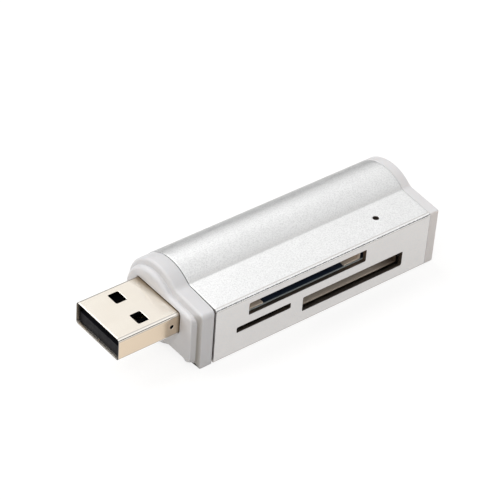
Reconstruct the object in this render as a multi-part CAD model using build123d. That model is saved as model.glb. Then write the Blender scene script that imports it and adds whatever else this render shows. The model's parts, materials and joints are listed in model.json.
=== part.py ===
from build123d import *
import math
import os

# A plug-in card reader: an extruded sleeve of keyhole section, closed by a moulded collar with a plug at the
# front and a moulded cap at the rear, round a circuit board with three card sockets.
# Sizes are in millimetres. Everything is laid out in a working frame: x runs from the plug to the rear cap
# with 0 at the sleeve's front end, y runs inwards from the slot face, and z runs up from the underside of
# the block. At the end all pieces are leaned over together as the reader comes to rest on a table.

# Card slots along the sleeve
front_margin = 4.85
micro_slot_width = 11.6
slot_spacing = 2.65
stick_slot_width = 22.45
rear_margin = 5.65
large_slot_start = 7.4
large_slot_width = 25.4
slot_corner = 0.25

# Heights from the underside of the block up to its shoulder
floor_margin = 2.45
stick_slot_height = 2.85
stick_slot_drop = 1.15
micro_slot_height = 1.15
micro_slot_drop = 0.9
board_thickness = 0.6
board_drop = 0.05
large_slot_height = 2.55
large_slot_drop = 2.15

# Sleeve section
shoulder_width = 7.5
round_radius = 7.9
sleeve_wall = 0.8
edge_radius = 0.45
notch_radius = 0.5
lamp_hole_diameter = 1.15
lamp_hole_setback = 9.05
lamp_hole_inset = 4.2

# Front collar and rear cap
flange_thickness = 2.4
flange_chamfer = 0.4
boss_height = 1.1
boss_inset = 0.65
boss_shift = 0.45
boss_drop = 0.2
boss_corner = 1.2
boss_round = 0.6
cap_thickness = 1.9
spigot_length = 3.0
spigot_wall = 1.0
spigot_clearance = 0.1
ledge_width = 1.4
ledge_thickness = 1.0
rim_chamfer = 0.12
end_notch_radius = 2.0

# Plug
plug_width = 12.0
plug_height = 4.5
plug_exposed = 12.25
plug_buried = 5.0
plug_shift = 0.58
plug_sheet = 0.3
plug_corner = 0.55
plug_tip_chamfer = 0.1
plug_clearance = 0.1
window_length = 2.0
window_width = 2.5
window_setback = 5.15
window_spread = 6.15
window_corner = 0.25
side_hole_diameter = 0.9
side_hole_setback = 10.75
seam_width = 0.08
shell_tab_length = 2.4
shell_tab_height = 1.3
tongue_thickness = 2.0
tongue_recess = 0.6
mating_depth = 9.6
insulator_clearance = 0.05
blade_width = 1.0
blade_thickness = 0.2
blade_tail = 2.6
power_blade_setback = 1.6
data_blade_setback = 2.6
power_blade_spread = 7.0
data_blade_spread = 2.0

# Circuit board
board_gap = 0.25
neck_gap = 0.2
shoulder_gap = 0.3
rear_neck_gap = 1.0

# Card sockets
card_side_clearance = 0.15
socket_gap = 0.05
groove_clearance = 0.05
tail_length = 0.9
tail_room = 0.7
large_card_width = 24.0
rail_sheet = 0.3
rail_height = 2.9
rail_foot = 3.3
rail_lip = 1.0
rail_front = 1.25
large_holder_depth = 3.4
large_holder_height = 2.3
large_contact_count = 9
large_contact_pitch = 2.5
large_contact_width = 0.7
large_contact_reach = 4.0
large_contact_rise = 0.85
stick_card_width = 21.5
stick_side_clearance = 0.3
stick_sheet = 0.3
stick_front = 1.6
stick_holder_depth = 2.4
stick_contact_count = 10
stick_contact_pitch = 1.9
stick_contact_width = 0.7
stick_contact_reach = 4.0
stick_contact_rise = 1.4
micro_card_width = 11.0
micro_sheet = 0.2
micro_front = 1.7
micro_base_thickness = 0.85
micro_bar_depth = 2.6
micro_window_front = 1.4
micro_window_margin = 0.1
micro_contact_count = 8
micro_contact_pitch = 1.1
micro_contact_width = 0.5
micro_contact_reach = 3.4
micro_contact_rise = 1.3
spring_thickness = 0.15
spring_tip_share = 0.2
spring_tip_drop = 0.25

# Parts soldered to the board
chip_length = 6.2
chip_width = 3.9
chip_height = 1.4
chip_lift = 0.1
chip_edge_setback = 5.8
chip_lead_count = 8
chip_lead_pitch = 0.7
chip_lead_width = 0.3
lead_thickness = 0.15
lead_reach = 0.9
crystal_length = 3.2
crystal_width = 2.5
crystal_height = 0.8
crystal_corner = 0.4
regulator_length = 2.9
regulator_width = 1.4
regulator_height = 1.1
regulator_offset = 3.7
regulator_lead_pitch = 0.95
regulator_lead_width = 0.4
part_gap = 1.2
capacitor_length = 2.0
capacitor_width = 1.25
capacitor_height = 0.8
capacitor_count = 3
resistor_length = 1.6
resistor_width = 0.8
resistor_height = 0.45
resistor_count = 5
small_part_spacing = 0.9
lamp_length = 1.6
lamp_width = 0.8
lamp_height = 0.75
lamp_dome = 0.15
lamp_dome_diameter = 0.55

# Places worked out from the sizes above
micro_slot_start = front_margin
stick_slot_start = micro_slot_start + micro_slot_width + slot_spacing
sleeve_length = stick_slot_start + stick_slot_width + rear_margin
stick_floor = floor_margin
board_bottom = stick_floor + stick_slot_height + stick_slot_drop
board_top = board_bottom + board_thickness
large_floor = board_top + board_drop
micro_floor = board_bottom - micro_slot_drop - micro_slot_height
block_height = large_floor + large_slot_height + large_slot_drop
mid_height = block_height / 2
round_y = shoulder_width + math.sqrt(round_radius**2 - mid_height**2)
overall_width = round_y + round_radius
lamp_x = sleeve_length - lamp_hole_setback
large_middle = large_slot_start + large_slot_width / 2
stick_middle = stick_slot_start + stick_slot_width / 2
micro_middle = micro_slot_start + micro_slot_width / 2
boss_front = -flange_thickness - boss_height
plug_tip = boss_front - plug_exposed
plug_end = boss_front + plug_buried
plug_y = overall_width / 2 + plug_shift
plug_bottom = board_top - tongue_thickness - plug_sheet
plug_middle = plug_bottom + plug_height / 2
spigot_inset = sleeve_wall + spigot_clearance
hollow_inset = spigot_inset + spigot_wall


def section(inset, corner, notch):
    """Keyhole outline moved inwards by inset: a block whose inner end is a round as high as it is wide."""
    length = round_y - inset
    block = Pos(inset + length / 2, mid_height) * Rectangle(length, block_height - 2 * inset)
    outline = block + Pos(round_y, mid_height) * Circle(round_radius - inset)
    ordered = outline.vertices().sort_by(Axis.X)
    notches = ordered[2:4]
    outline = fillet(notches, notch + inset)
    corners = outline.vertices().sort_by(Axis.X)[:2]
    return fillet(corners, corner)


def prism(outline, start, end):
    """Outline drawn in y and z, carried along the length from start to end."""
    return extrude(Plane.YZ.offset(start) * outline, amount=end - start)


def slab(x_span, y_span, z_span):
    """Plain block between three pairs of limits."""
    spans = (x_span, y_span, z_span)
    sizes = [high - low for low, high in spans]
    middles = [(high + low) / 2 for low, high in spans]
    return Pos(*middles) * Box(*sizes)


def across(outline, front, back):
    """Outline drawn in x and z, carried inwards from front to back."""
    drawn = Plane(origin=(0, back, 0), x_dir=(1, 0, 0), z_dir=(0, -1, 0)) * outline
    return extrude(drawn, amount=back - front)


def span(middle, width):
    """Limits of a width set about a middle."""
    return middle - width / 2, middle + width / 2


def rectangle(x_span, z_span):
    """Flat rectangle between two pairs of limits."""
    width = x_span[1] - x_span[0]
    height = z_span[1] - z_span[0]
    return Pos(sum(x_span) / 2, sum(z_span) / 2) * Rectangle(width, height)


def round_reach(inset, low, high):
    """Furthest y that stays inside the round moved inwards by inset, over the heights from low to high."""
    farthest = max(abs(low - mid_height), abs(high - mid_height))
    return round_y + math.sqrt((round_radius - inset) ** 2 - farthest**2)


# How far back the board and the sockets reach
board_back = round_reach(sleeve_wall, board_bottom, board_top) - board_gap
holder_back = board_back - tail_length - tail_room
large_holder_front = holder_back - large_holder_depth
stick_holder_front = holder_back - stick_holder_depth
micro_bar_front = holder_back - micro_bar_depth


def slot_cutter(start, width, floor, height):
    """Round-cornered bar that cuts one card slot through the slot face."""
    outline = RectangleRounded(width, height, slot_corner)
    placed = Pos(start + width / 2, floor + height / 2) * outline
    return across(placed, -sleeve_wall, 2 * sleeve_wall)


def make_sleeve():
    """Extruded tube with three card slots in its flat face and a pinhole in its shoulder."""
    wall = section(0, edge_radius, notch_radius) - section(sleeve_wall, edge_radius, notch_radius)
    tube = prism(wall, 0, sleeve_length)
    tube -= slot_cutter(large_slot_start, large_slot_width, large_floor, large_slot_height)
    tube -= slot_cutter(stick_slot_start, stick_slot_width, stick_floor, stick_slot_height)
    tube -= slot_cutter(micro_slot_start, micro_slot_width, micro_floor, micro_slot_height)
    hole = Cylinder(lamp_hole_diameter / 2, 2 * sleeve_wall)
    return tube - Pos(lamp_x, lamp_hole_inset, block_height - sleeve_wall / 2) * hole


def spigot(start, end):
    """Ring that fits inside the sleeve, with two ledges that carry the end of the board."""
    body = prism(section(spigot_inset, edge_radius, notch_radius), start, end)
    ring = body - prism(section(hollow_inset, edge_radius, notch_radius), start, end)
    levels = (board_bottom - ledge_thickness, board_bottom)
    inner = round_reach(hollow_inset, *levels)
    near = slab((start, end), (0, hollow_inset + ledge_width), levels)
    far = slab((start, end), (inner - ledge_width, overall_width), levels)
    return ring + (body & near) + (body & far)


def plug_outline(growth):
    """Round-cornered outline of the plug, grown on every side."""
    outline = RectangleRounded(plug_width + 2 * growth, plug_height + 2 * growth, plug_corner + growth)
    return Pos(plug_y, plug_middle) * outline


def make_front_collar():
    """Flange flush with the sleeve, a stepped boss round the plug and a spigot inside the sleeve."""
    flange = prism(section(0, edge_radius, end_notch_radius), -flange_thickness, 0)
    front = flange.faces().sort_by(Axis.X)[0]
    flange = chamfer(front.edges(), flange_chamfer)
    outline = Pos(boss_shift, -boss_drop) * section(boss_inset, boss_corner, end_notch_radius)
    boss = prism(outline, boss_front, -flange_thickness)
    front = boss.faces().sort_by(Axis.X)[0]
    boss = fillet(front.edges(), min(boss_round, boss_corner))
    collar = flange + boss + spigot(0, spigot_length)
    aperture = prism(plug_outline(plug_clearance), boss_front, spigot_length)
    return collar - aperture


def make_rear_cap():
    """End plate flush with the sleeve, with the same spigot as the collar."""
    outline = section(0, edge_radius, end_notch_radius)
    plate = prism(outline, sleeve_length, sleeve_length + cap_thickness)
    back = plate.faces().sort_by(Axis.X)[-1]
    plate = chamfer(back.edges(), rim_chamfer)
    return plate + spigot(sleeve_length - spigot_length, sleeve_length)


def make_plug_shell():
    """Sheet folded into a flat tube, with a seam and two windows below, two windows above and side holes."""
    tube = prism(plug_outline(0), plug_tip, plug_end)
    front = tube.faces().sort_by(Axis.X)[0]
    tube = chamfer(front.edges(), plug_tip_chamfer)
    tube -= prism(plug_outline(-plug_sheet), plug_tip, plug_end)
    window = RectangleRounded(window_length, window_width, window_corner)
    window_x = plug_tip + window_setback + window_length / 2
    for window_y in span(plug_y, window_spread):
        tube -= Pos(window_x, window_y, plug_bottom) * extrude(window, amount=plug_height)
    hole_y = span(plug_y, plug_width)
    hole = across(Pos(plug_tip + side_hole_setback, plug_middle) * Circle(side_hole_diameter / 2), *hole_y)
    seam = slab((plug_tip, plug_end), span(plug_y, seam_width), (plug_bottom, plug_bottom + plug_sheet))
    tube -= hole
    tube -= seam
    tab_height = (board_top, board_top + shell_tab_height)
    tab_length = (plug_end, plug_end + shell_tab_length)
    near_side, far_side = span(plug_y, plug_width)
    tube += slab(tab_length, (near_side, near_side + plug_sheet), tab_height)
    tube += slab(tab_length, (far_side - plug_sheet, far_side), tab_height)
    return tube


def blade_spots():
    """Setback and y of the four contact blades: two long outer ones and two short inner ones."""
    spots = [(power_blade_setback, y) for y in span(plug_y, power_blade_spread)]
    spots += [(data_blade_setback, y) for y in span(plug_y, data_blade_spread)]
    return spots


def make_plug_contacts():
    """Four blades that lie on the tongue and run back onto the board."""
    levels = (board_top, board_top + blade_thickness)
    blades = []
    for setback, y in blade_spots():
        length = (plug_tip + setback, plug_end + blade_tail)
        blades.append(slab(length, span(y, blade_width), levels))
    return Compound(blades)


def make_plug_insulator():
    """Tongue in the lower half of the plug and a block behind it, grooved for the blades."""
    filling = plug_outline(-plug_sheet - insulator_clearance)
    tongue = prism(filling, plug_tip + tongue_recess, plug_end)
    above = slab((plug_tip, plug_tip + mating_depth), (0, overall_width), (board_top, block_height))
    body = tongue - above
    for setback, y in blade_spots():
        groove = slab((plug_tip, plug_end), span(y, blade_width), (board_top, board_top + blade_thickness))
        body -= groove
    return body


def make_circuit_board():
    """Board between the slot rows, narrowed at both ends to sit on the ledges in the spigots."""
    levels = (board_bottom, board_top)
    main_start = spigot_length + shoulder_gap
    main_end = sleeve_length - spigot_length - shoulder_gap
    main = slab((main_start, main_end), (sleeve_wall + board_gap, board_back), levels)
    neck_y = (hollow_inset + neck_gap, round_reach(hollow_inset, *levels) - neck_gap)
    neck = slab((plug_end, sleeve_length - rear_neck_gap), neck_y, levels)
    return main + neck


def spring_contacts(middle, count, pitch, width, bar_front, reach, rise, base, side):
    """Row of bent strips: a tail flat on the board, then a rising spring with a turned-down tip."""
    tip = bar_front - reach
    bend = tip + reach * spring_tip_share
    low = [
        (holder_back + tail_length, base),
        (bar_front, base),
        (bend, base + side * (rise - spring_thickness)),
        (tip, base + side * (rise - spring_thickness - spring_tip_drop)),
    ]
    high = [(y, z + side * spring_thickness) for y, z in reversed(low)]
    outline = make_face(Polyline(*low, *high, close=True))
    first = middle - pitch * (count - 1) / 2
    strips = []
    for number in range(count):
        start = first + number * pitch - width / 2
        strips.append(prism(outline, start, start + width))
    return strips


def contact_grooves(middle, count, pitch, width, bar_span, base, side):
    """Grooves under a bar that let the flat tails of a row of contacts through."""
    depth = spring_thickness + groove_clearance
    levels = sorted((base, base + side * depth))
    first = middle - pitch * (count - 1) / 2
    grooves = []
    for number in range(count):
        x_span = span(first + number * pitch, width + 2 * groove_clearance)
        grooves.append(slab(x_span, bar_span, levels))
    return grooves


rail_inner = large_card_width / 2 + card_side_clearance
rail_back = large_holder_front - large_contact_reach - socket_gap


def make_large_card_rails():
    """Two stamped channels that face each other, each with a wide foot below and a narrow lip above."""
    top = board_top + rail_height
    rails = []
    for direction in (-1, 1):
        inner = large_middle + direction * rail_inner
        outer = inner + direction * rail_sheet
        foot_end = inner - direction * rail_foot
        lip_end = inner - direction * rail_lip
        outline = rectangle(sorted((outer, foot_end)), (board_top, board_top + rail_sheet))
        outline += rectangle(sorted((outer, inner)), (board_top, top))
        outline += rectangle(sorted((outer, lip_end)), (top - rail_sheet, top))
        rails.append(across(outline, rail_front, rail_back))
    return Compound(rails)


def make_large_card_holder():
    """Bar behind the large card that holds its contacts down on the board."""
    bar_span = (large_holder_front, holder_back)
    levels = (board_top, board_top + large_holder_height)
    bar = slab(span(large_middle, large_card_width), bar_span, levels)
    row = (large_middle, large_contact_count, large_contact_pitch, large_contact_width)
    for groove in contact_grooves(*row, bar_span, board_top, 1):
        bar -= groove
    return bar


def make_large_card_contacts():
    """Springs that press up on the large card's pads."""
    row = (large_middle, large_contact_count, large_contact_pitch, large_contact_width)
    shape = (large_holder_front, large_contact_reach, large_contact_rise)
    return Compound(spring_contacts(*row, *shape, board_top, 1))


def hanging_channel(middle, inner_width, sheet, floor, front, back):
    """Stamped channel that hangs under the board, open towards it, with its floor below the card."""
    outer = span(middle, inner_width + 2 * sheet)
    outline = rectangle(outer, (floor - sheet, board_bottom))
    outline -= rectangle(span(middle, inner_width), (floor, board_bottom))
    return across(outline, front, back)


stick_inner_width = stick_card_width + 2 * stick_side_clearance
stick_channel_floor = stick_floor - socket_gap
micro_inner_width = micro_card_width + 2 * card_side_clearance
micro_channel_floor = micro_floor - socket_gap


def make_stick_card_cover():
    """Channel round the stick card."""
    size = (stick_inner_width, stick_sheet, stick_channel_floor)
    return hanging_channel(stick_middle, *size, stick_front, holder_back)


def make_stick_card_holder():
    """Bar that closes the channel behind the stick card and holds its contacts up against the board."""
    bar_span = (stick_holder_front, holder_back)
    width = stick_inner_width - 2 * socket_gap
    bar = slab(span(stick_middle, width), bar_span, (stick_channel_floor, board_bottom))
    row = (stick_middle, stick_contact_count, stick_contact_pitch, stick_contact_width)
    for groove in contact_grooves(*row, bar_span, board_bottom, -1):
        bar -= groove
    return bar


def make_stick_card_contacts():
    """Springs that press down on the stick card's pads."""
    row = (stick_middle, stick_contact_count, stick_contact_pitch, stick_contact_width)
    shape = (stick_holder_front, stick_contact_reach, stick_contact_rise)
    return Compound(spring_contacts(*row, *shape, board_bottom, -1))


def make_micro_card_cover():
    """Channel round the micro card."""
    size = (micro_inner_width, micro_sheet, micro_channel_floor)
    return hanging_channel(micro_middle, *size, micro_front, micro_bar_front)


def make_micro_card_base():
    """Flat frame between the board and the micro card, with a window for the springs."""
    levels = (board_bottom - micro_base_thickness, board_bottom)
    width = micro_inner_width - 2 * socket_gap
    base = slab(span(micro_middle, width), (micro_front, holder_back), levels)
    window_y = (micro_front + micro_window_front, micro_bar_front)
    row_width = micro_contact_pitch * (micro_contact_count - 1) + micro_contact_width
    base -= slab(span(micro_middle, row_width + 2 * micro_window_margin), window_y, levels)
    row = (micro_middle, micro_contact_count, micro_contact_pitch, micro_contact_width)
    for groove in contact_grooves(*row, (micro_bar_front, holder_back), board_bottom, -1):
        base -= groove
    return base


def make_micro_card_contacts():
    """Springs that press down on the micro card's pads."""
    row = (micro_middle, micro_contact_count, micro_contact_pitch, micro_contact_width)
    shape = (micro_bar_front, micro_contact_reach, micro_contact_rise)
    return Compound(spring_contacts(*row, *shape, board_bottom, -1))


chip_x = lamp_x
chip_y = board_back - chip_edge_setback - chip_length / 2


def gull_lead(foot_x, body_x, lead_width, y, shoulder):
    """Strip bent twice: a foot on the board, a riser and a shoulder that meets the body."""
    direction = math.copysign(1, foot_x - body_x)
    riser_x = body_x + direction * lead_reach / 2
    foot = rectangle(sorted((riser_x, foot_x)), (board_top, board_top + lead_thickness))
    riser_end = riser_x - direction * lead_thickness
    riser = rectangle(sorted((riser_end, riser_x)), (board_top, shoulder + lead_thickness))
    top = rectangle(sorted((body_x, riser_x)), (shoulder, shoulder + lead_thickness))
    return across(foot + riser + top, *span(y, lead_width))


def make_controller_chip():
    """Moulded block with its long side across the reader."""
    levels = (board_top + chip_lift, board_top + chip_lift + chip_height)
    return slab(span(chip_x, chip_width), span(chip_y, chip_length), levels)


def make_controller_leads():
    """Two rows of bent leads beside the controller."""
    shoulder = board_top + chip_lift + chip_height / 2
    first = chip_y - chip_lead_pitch * (chip_lead_count - 1) / 2
    leads = []
    for body_x in span(chip_x, chip_width):
        foot_x = body_x + math.copysign(lead_reach, body_x - chip_x)
        for number in range(chip_lead_count):
            y = first + number * chip_lead_pitch
            leads.append(gull_lead(foot_x, body_x, chip_lead_width, y, shoulder))
    return Compound(leads)


crystal_y = chip_y + chip_length / 2 + part_gap + crystal_width / 2
regulator_x = chip_x + regulator_offset
regulator_y = lamp_hole_inset


def make_clock_crystal():
    """Low metal can with rounded upright edges."""
    can = Box(crystal_length, crystal_width, crystal_height)
    can = fillet(can.edges().filter_by(Axis.Z), crystal_corner)
    return Pos(chip_x, crystal_y, board_top + crystal_height / 2) * can


def make_voltage_regulator():
    """Small moulded block."""
    levels = (board_top + chip_lift, board_top + chip_lift + regulator_height)
    return slab(span(regulator_x, regulator_width), span(regulator_y, regulator_length), levels)


def make_regulator_leads():
    """Two leads on one side of the regulator and one on the other."""
    shoulder = board_top + chip_lift + regulator_height / 2
    near, far = span(regulator_x, regulator_width)
    leads = [gull_lead(far + lead_reach, far, regulator_lead_width, regulator_y, shoulder)]
    for y in span(regulator_y, 2 * regulator_lead_pitch):
        leads.append(gull_lead(near - lead_reach, near, regulator_lead_width, y, shoulder))
    return Compound(leads)


small_part_x = chip_x + chip_width / 2 + lead_reach + part_gap + capacitor_width / 2


def row_of_parts(length, width, height, count, x, first_y):
    """Row of small blocks on the board, set side by side along y."""
    parts = []
    for number in range(count):
        y = first_y + number * (length + small_part_spacing)
        parts.append(slab(span(x, width), span(y, length), (board_top, board_top + height)))
    return Compound(parts)


def make_capacitors():
    """Row of chip capacitors between the controller and the rear cap, behind the regulator."""
    size = (capacitor_length, capacitor_width, capacitor_height)
    first_y = regulator_y + (regulator_length + capacitor_length) / 2 + part_gap
    return row_of_parts(*size, capacitor_count, small_part_x, first_y)


def make_resistors():
    """Row of chip resistors between the plug and the large card's rail."""
    size = (resistor_length, resistor_width, resistor_height)
    blades_end = plug_end + blade_tail
    rail_start = large_middle - rail_inner - rail_sheet
    row_x = (blades_end + rail_start) / 2
    return row_of_parts(*size, resistor_count, row_x, sleeve_wall + board_gap + resistor_length)


def make_indicator_lamp():
    """Small lamp with a low dome, on the board under the pinhole."""
    body = Box(lamp_length, lamp_width, lamp_height)
    dome = Pos(0, 0, (lamp_height + lamp_dome) / 2) * Cylinder(lamp_dome_diameter / 2, lamp_dome)
    place = Pos(lamp_x, lamp_hole_inset, board_top + lamp_height / 2)
    return place * (body + dome)


def rest_lean():
    """Angle of the line that touches the block's lower edge and the underside of the round."""
    rise = mid_height - edge_radius
    run = round_y - edge_radius
    slope = math.atan2(rise, run)
    return math.degrees(math.asin((round_radius - edge_radius) / math.hypot(rise, run)) - slope)


pieces = {
    "sleeve": make_sleeve(),
    "front_collar": make_front_collar(),
    "rear_cap": make_rear_cap(),
    "plug_shell": make_plug_shell(),
    "plug_insulator": make_plug_insulator(),
    "plug_contacts": make_plug_contacts(),
    "circuit_board": make_circuit_board(),
    "large_card_rails": make_large_card_rails(),
    "large_card_holder": make_large_card_holder(),
    "large_card_contacts": make_large_card_contacts(),
    "stick_card_cover": make_stick_card_cover(),
    "stick_card_holder": make_stick_card_holder(),
    "stick_card_contacts": make_stick_card_contacts(),
    "micro_card_cover": make_micro_card_cover(),
    "micro_card_base": make_micro_card_base(),
    "micro_card_contacts": make_micro_card_contacts(),
    "controller_chip": make_controller_chip(),
    "controller_leads": make_controller_leads(),
    "clock_crystal": make_clock_crystal(),
    "voltage_regulator": make_voltage_regulator(),
    "regulator_leads": make_regulator_leads(),
    "capacitors": make_capacitors(),
    "resistors": make_resistors(),
    "indicator_lamp": make_indicator_lamp(),
}

# The reader lies leaned over on the edge of its block and the underside of its round, over the origin
leaned = {name: Rot(rest_lean(), 0, 0) * piece for name, piece in pieces.items()}
limits = Compound([solid for piece in leaned.values() for solid in piece.solids()]).bounding_box()
middle = limits.center()
seat = Pos(-middle.X, -middle.Y, -limits.min.Z)

os.makedirs("parts", exist_ok=True)
for name, piece in leaned.items():
    export_step(seat * piece, f"parts/{name}.step")
print("lean", rest_lean(), "seat", seat.position, "size", limits.size)
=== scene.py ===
import json
import math

import bpy
import numpy as np
from mathutils import Matrix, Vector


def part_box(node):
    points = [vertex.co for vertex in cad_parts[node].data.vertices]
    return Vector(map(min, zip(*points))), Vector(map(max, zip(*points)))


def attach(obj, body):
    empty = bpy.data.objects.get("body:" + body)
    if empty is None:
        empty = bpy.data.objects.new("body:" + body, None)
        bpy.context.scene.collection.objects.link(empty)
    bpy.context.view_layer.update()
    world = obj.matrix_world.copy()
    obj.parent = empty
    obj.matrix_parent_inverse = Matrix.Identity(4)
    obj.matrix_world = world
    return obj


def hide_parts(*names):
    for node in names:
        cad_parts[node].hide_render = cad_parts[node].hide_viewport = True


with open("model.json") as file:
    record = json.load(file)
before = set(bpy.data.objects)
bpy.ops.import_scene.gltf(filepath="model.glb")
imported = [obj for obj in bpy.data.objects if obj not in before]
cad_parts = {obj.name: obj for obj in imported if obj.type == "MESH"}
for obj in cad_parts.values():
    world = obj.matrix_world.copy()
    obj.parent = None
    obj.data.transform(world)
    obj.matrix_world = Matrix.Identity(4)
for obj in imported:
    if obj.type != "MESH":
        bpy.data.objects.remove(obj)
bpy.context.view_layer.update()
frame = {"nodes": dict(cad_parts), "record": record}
scene = bpy.context.scene

# Visible skins, finishes, studio and camera of the plug-in card reader.
# The skins are worked out in the reader's own frame, in millimetres: x runs from the plug to the rear cap
# with 0 at the sleeve's front end, y runs inwards from the slot face, and z runs up from the underside of
# the block. A skin is carried into the shared frame, in metres, when its mesh is made.
mm = 0.001
quarter = math.pi / 2
mounts = {mount["name"]: mount for mount in frame["record"]["mounts"]}
inwards = -np.array(mounts["large_card_slot"]["axis"])
upwards = -np.array(mounts["flat_underside"]["axis"])
lengthwise = np.cross(inwards, upwards)
reader_axes = np.stack((lengthwise, inwards, upwards))
slot_face_level = np.array(mounts["large_card_slot"]["pos_m"]) @ inwards
underside_level = np.array(mounts["flat_underside"]["pos_m"]) @ upwards
sleeve_low, sleeve_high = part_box("sleeve")
reader_origin = np.array((sleeve_low.x, slot_face_level, underside_level)) @ reader_axes
x_axis, y_axis, z_axis = np.eye(3)

# Sleeve
sleeve_length = (sleeve_high.x - sleeve_low.x) / mm
block_height = 11.8
shoulder_width = 7.5
round_radius = 7.9
sleeve_wall = 0.8
sleeve_front = 0.3
shoulder_fall = 0.45
shoulder_edge = 0.65
# Painted dark lines where rounded edges leave their flats, and painted shade along the sleeve's underside
# edge
border_width = 0.12
border_mark = 0.6
low_edge_mark = 0.9
edge_radius = 0.45
notch_radius = 0.5
sleeve_edge = 0.05
slot_corner = 0.25
slot_edge = 0.08
large_slot = {"start": 7.25, "width": 25.55, "floor": 7.2, "height": 2.5}
stick_slot = {"start": 19.1, "width": 22.45, "floor": 2.45, "height": 2.99}
micro_slot = {"start": 4.85, "width": 11.6, "floor": 4.4, "height": 1.15}
slot_row_split = 6.3
slot_column_split = 17.775
lamp_hole_radius = 0.575
lamp_hole_setback = 9.05
lamp_hole_inset = 4.2
lamp_hole_edge = 0.06
lamp_hole_margin = 2.0

# Front collar and rear cap
flange_thickness = 2.6
flange_rim = 0.5
flange_rear_edge = 0.5
flange_corner = 0.12
flange_edge = 0.7
boss_height = 0.9
boss_inset = 0.65
boss_shift = 1.1
foot_shift = 0.6
far_boss_shift = 0.1
boss_drop = 0.4
top_boss_drop = 0.85
boss_corner = 1.2
boss_round = 0.75
boss_foot = 0.2
crisp_share = 0.25
slot_side_reach = 1.1
far_seam_share = 0.2
# Painted shadow in the collar's step: its strength away from the slot side, over the flange's rim and on the
# boss wall
far_step_mark = 0.1
rim_step_mark = 0.6
wall_step_mark = 0.15
parting_line = 0.85
parting_width = 0.1
parting_depth = 0.02
cap_thickness = 1.9
cap_rim = 0.12
cap_edge = 0.25
seam_edge = 0.08
flange_inset = 0.06
front_seam_gap = -0.24
seam_opening = 0.12
rear_seam_gap = 0.06
end_notch_radius = 2.0
spigot_length = 3.0
spigot_inset = 0.9
hollow_inset = 1.9
spigot_insets = (spigot_inset, spigot_inset, hollow_inset, hollow_inset)
face_insets = (1.2, 2.4, 3.6, 4.8)

# Plug
plug_width = 12.0
plug_height = 4.5
plug_exposed = 12.25
plug_buried = 5.0
plug_shift = 0.58
plug_bottom = 4.75
plug_sheet = 0.3
plug_corner = 0.6
plug_nose = 0.06
plug_lip = 0.12
plug_lip_depth = 0.6
plug_clearance = 0.07
# Painted shade inside the plug, lighter near the mouth, and on the mouth's rim
mouth_light = 1.5
mouth_mark = 0.6
nose_mark = 0.85
aperture_edge = 0.12
window_length = 2.12
window_width = 2.62
window_setback = 5.1
window_spread = 6.15
window_corner = 0.25
window_edge = 0.06
window_margin = 0.65
side_hole_radius = 0.38
side_hole_setback = 10.75
side_hole_edge = 0.05
side_hole_margin = 0.5
seam_width = 0.08

# Board
board_front = 1.05
board_edge = 0.1
board_edge_fade = 0.2

# Marks on the skins that the finishes read
# The inside mark carries painted shade: on inner faces and opening walls, in the collar's step, along the
# sleeve's underside bend, beside rounded edges and on the plug's mouth rim. The edge mark carries a painted
# highlight on bends.
shade_mark_name = "inside"
edge_name = "edge"

# How finely the surfaces are divided
rim_steps = 4
corner_steps = 8
parting_steps = 6
notch_steps = 10
round_steps = 112
face_steps = 14
shoulder_steps = 12
underside_steps = 8
opening_corner_steps = 4
opening_edge_steps = 4
sleeve_steps = (44, 44, 14, 18)
plug_steps = (12, 14, 6, 12, 10)
plug_bend_steps = 8
plug_side_steps = 10
roof_steps = (2, 12, 6, 12, 2)
floor_steps = (4, 12, 2)

# Places worked out from the sizes
mid_height = block_height / 2
round_y = shoulder_width + math.sqrt(round_radius**2 - mid_height**2)
overall_width = round_y + round_radius
lamp_x = sleeve_length - lamp_hole_setback
boss_front = -flange_thickness - boss_height
plug_tip = boss_front - plug_exposed
plug_end = boss_front + plug_buried
plug_y = overall_width / 2 + plug_shift
plug_near = plug_y - plug_width / 2
plug_far = plug_y + plug_width / 2
plug_top = plug_bottom + plug_height
plug_middle = plug_bottom + plug_height / 2
section_middle = np.array((overall_width / 2, mid_height))


def stations(marks, steps):
    """Stations from mark to mark, evenly spread over each stretch, and the place of each mark in the row."""
    stretches = [np.linspace(*ends, count, endpoint=False) for *ends, count in zip(marks, marks[1:], steps)]
    places = np.concatenate(([0], np.cumsum(steps)))
    return np.concatenate((*stretches, marks[-1:])), places


def shares(marks, steps):
    """Stations from mark to mark as shares of the whole stretch between the first mark and the last."""
    row, places = stations(marks, steps)
    return (row - row[0]) / (row[-1] - row[0]), places


def arc(centre, radius, start, end, steps):
    """Points at equal angles on a circle about centre, from the angle start to short of the angle end."""
    angle = start + (end - start) * np.arange(steps) / steps
    flat = (centre[0] + radius * np.cos(angle), centre[1] + radius * np.sin(angle))
    return np.stack(np.broadcast_arrays(*flat), -1)


def run(start, end, spread):
    """Points on a straight run from start to end at the given shares of its length, short of the last one."""
    flat = [low + (high - low) * spread[:-1] for low, high in zip(start, end)]
    return np.stack(np.broadcast_arrays(*flat), -1)


slot_face_top = block_height - shoulder_fall
slot_face_marks = (edge_radius, slot_row_split, slot_face_top - shoulder_edge)
slot_face_shares, slot_face_places = shares(slot_face_marks, (face_steps, face_steps))
shoulder_shares = np.linspace(0, 1, shoulder_steps + 1)
underside_shares = np.linspace(0, 1, underside_steps + 1)
shoulder_start = 2 * face_steps + corner_steps


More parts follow.
